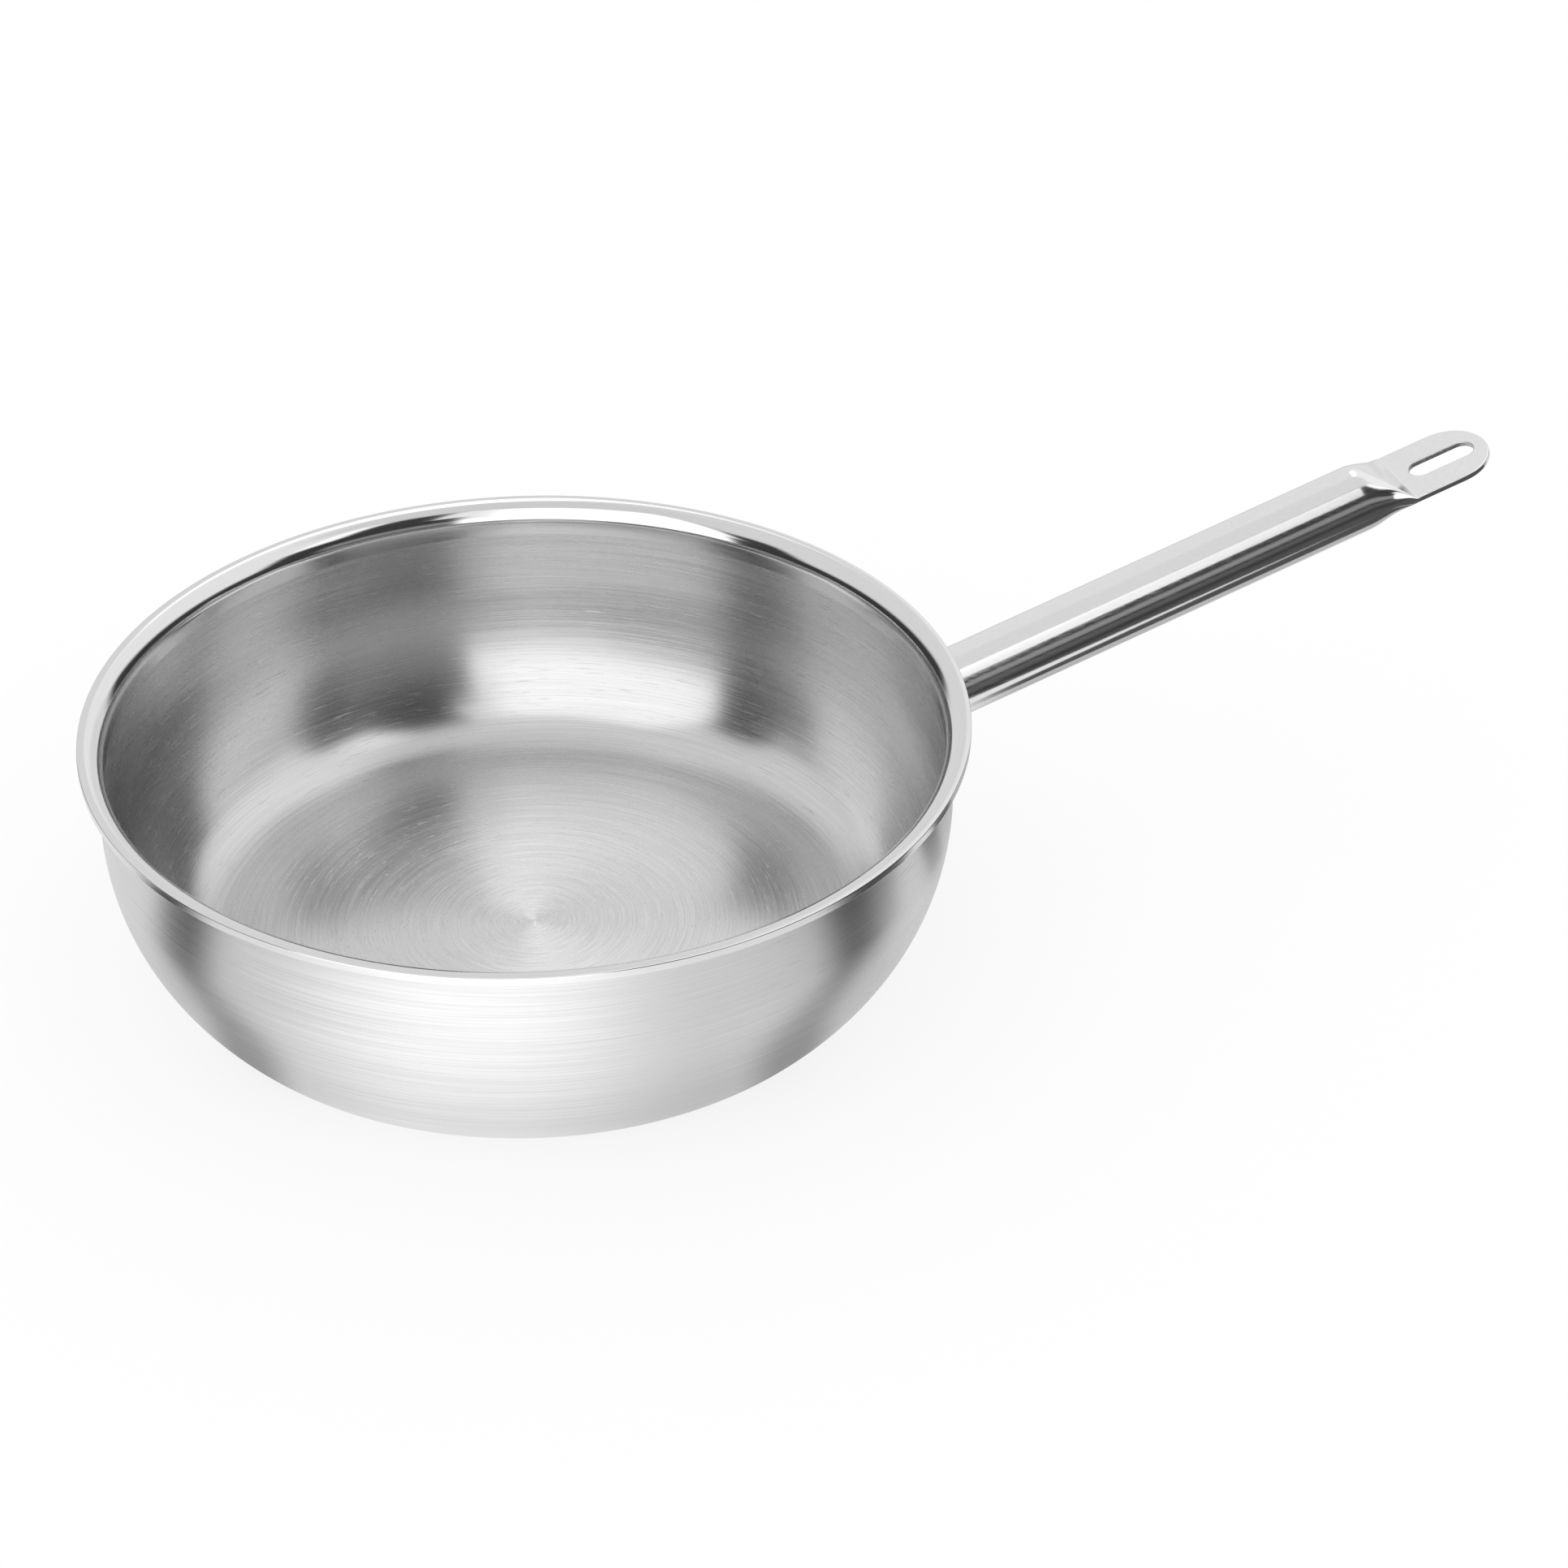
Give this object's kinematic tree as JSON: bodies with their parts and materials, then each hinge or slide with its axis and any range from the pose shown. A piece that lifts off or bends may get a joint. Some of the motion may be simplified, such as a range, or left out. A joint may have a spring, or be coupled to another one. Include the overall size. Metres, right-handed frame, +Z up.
{
  "type": "deep frying pan",
  "caption": "Deep round frying pan in clad stainless steel with a flared pouring lip and a rising hollow tube handle that ends in a flat eye with a hanging slot.",
  "frame": {"origin": "centre of the flat underside of the base", "axes": "+Z up through the centre of the bowl, +X along the handle away from the bowl"},
  "size_m": [0.4269, 0.252, 0.108],
  "materials": {
    "brushed_inside": "stainless steel, brushed round the bowl inside, mirror polished on the lip",
    "aluminium_core": "bare aluminium, seen only as a thin line in the lip's cut edge",
    "satin_outside": "stainless steel, satin brushed round the outside",
    "polished_handle": "stainless steel tube, mirror polished with a faint lengthways grain",
    "welded_steel": "stainless steel, plain pressed plate and dressed weld"
  },
  "bodies": {
    "root": {"inner_ply": "brushed_inside", "core_ply": "aluminium_core", "outer_ply": "satin_outside", "handle_tube": "polished_handle", "handle_saddle": "welded_steel", "handle_weld": "welded_steel"}
  },
  "joints": []
}
